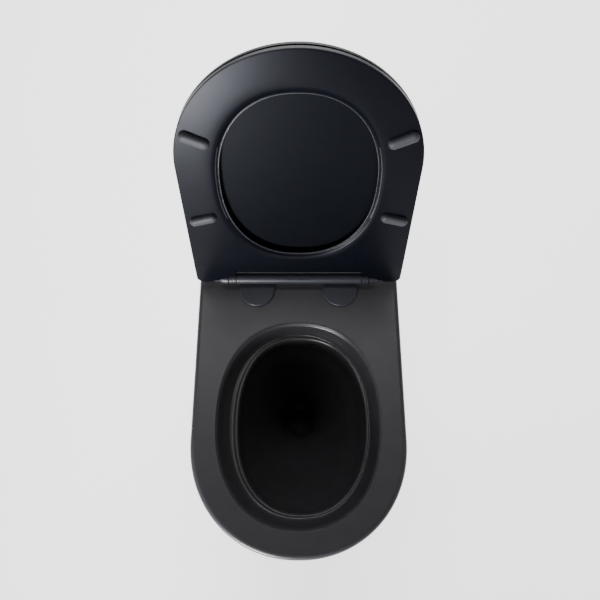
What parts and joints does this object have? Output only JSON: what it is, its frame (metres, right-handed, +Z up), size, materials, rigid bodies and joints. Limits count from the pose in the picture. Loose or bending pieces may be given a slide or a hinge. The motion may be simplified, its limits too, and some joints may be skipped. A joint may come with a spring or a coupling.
{
  "type": "toilet pan with seat and lid",
  "caption": "Matt black floor-standing back-to-wall toilet pan with a rimless bowl, slim D-shaped soft-close seat and lid on a quick-release hinge bar.",
  "frame": {"origin": "floor level on the centreline, under the middle of the overall depth with seat and lid raised; the wall plane is at y = +0.228 and the hinge axis at y = +0.160, z = 0.418", "axes": "+Z up, +Y towards the wall, -Y towards the user, +X to the user's right when facing the pan"},
  "size_m": [0.362, 0.5847, 0.8509],
  "materials": {
    "matt_glaze": "matt charcoal-black glaze, smooth, satin sheen on rounded edges",
    "seat_resin": "moulded urea resin, matt blue-black",
    "hinge_plastic": "satin dark grey moulded plastic",
    "cover_plastic": "satin dark grey moulded plastic",
    "bumper_rubber": "semi-matt dark grey rubber",
    "black_rubber": "matt black rubber",
    "steel": "plain stainless steel",
    "zinc_steel": "zinc-plated pressed steel",
    "white_plastic": "natural acetal, pale grey",
    "damper_plastic": "moulded dark grey acetal"
  },
  "bodies": {
    "pan_assembly": {"pan_deck": "matt_glaze", "pan_skirt": "matt_glaze", "pan_bowl": "matt_glaze", "pan_trapway": "matt_glaze", "pan_flush_chamber": "matt_glaze", "hinge_bar": "hinge_plastic", "hinge_cover_left": "cover_plastic", "hinge_cover_right": "cover_plastic", "hinge_base_left": "steel", "hinge_base_right": "steel", "fixing_screws": "steel", "expansion_plugs": "black_rubber", "plug_nuts": "steel", "latch_guide": "white_plastic", "latch_spring_left": "steel", "latch_spring_right": "steel", "damper_body_left": "damper_plastic", "damper_body_right": "damper_plastic", "inlet_seal": "black_rubber", "floor_bracket_left": "zinc_steel", "floor_bracket_right": "zinc_steel", "side_screws": "steel", "side_screw_caps": "cover_plastic"},
    "seat_body": {"seat": "seat_resin", "seat_bumper_front_left": "bumper_rubber", "seat_bumper_front_right": "bumper_rubber", "seat_bumper_rear_left": "bumper_rubber", "seat_bumper_rear_right": "bumper_rubber", "damper_shaft_left": "steel"},
    "lid_body": {"lid": "seat_resin", "lid_bumpers": "bumper_rubber", "damper_shaft_right": "steel"},
    "button_body": {"release_button": "hinge_plastic"},
    "catch_left": {"latch_pin_left": "steel"},
    "catch_right": {"latch_pin_right": "steel"}
  },
  "joints": [
    {"name": "lid_hinge", "type": "hinge", "parent": "pan_assembly", "child": "lid_body", "pos_m": [0, 0.16, 0.418], "axis": [1, 0, 0], "range_deg": [0, 106]},
    {"name": "seat_hinge", "type": "hinge", "parent": "pan_assembly", "child": "seat_body", "pos_m": [0, 0.16, 0.418], "axis": [1, 0, 0], "range_deg": [0, 106]},
    {"name": "button_press", "type": "slide", "parent": "pan_assembly", "child": "button_body", "axis": [0, 0.4226, -0.9063], "range_m": [0, 0.0028], "stiffness_N_per_m": 900, "springref_m": -0.002, "deforming": ["latch_spring_left", "latch_spring_right"]},
    {"name": "catch_slide_left", "type": "slide", "parent": "pan_assembly", "child": "catch_left", "axis": [1, 0, 0], "range_m": [0, 0.0028]},
    {"name": "catch_slide_right", "type": "slide", "parent": "pan_assembly", "child": "catch_right", "axis": [-1, 0, 0], "range_m": [0, 0.0028]}
  ],
  "couplings": [
    {"joint": "seat_hinge", "follows": "lid_hinge", "ratio": 1},
    {"joint": "catch_slide_left", "follows": "button_press", "ratio": 1},
    {"joint": "catch_slide_right", "follows": "button_press", "ratio": 1}
  ]
}
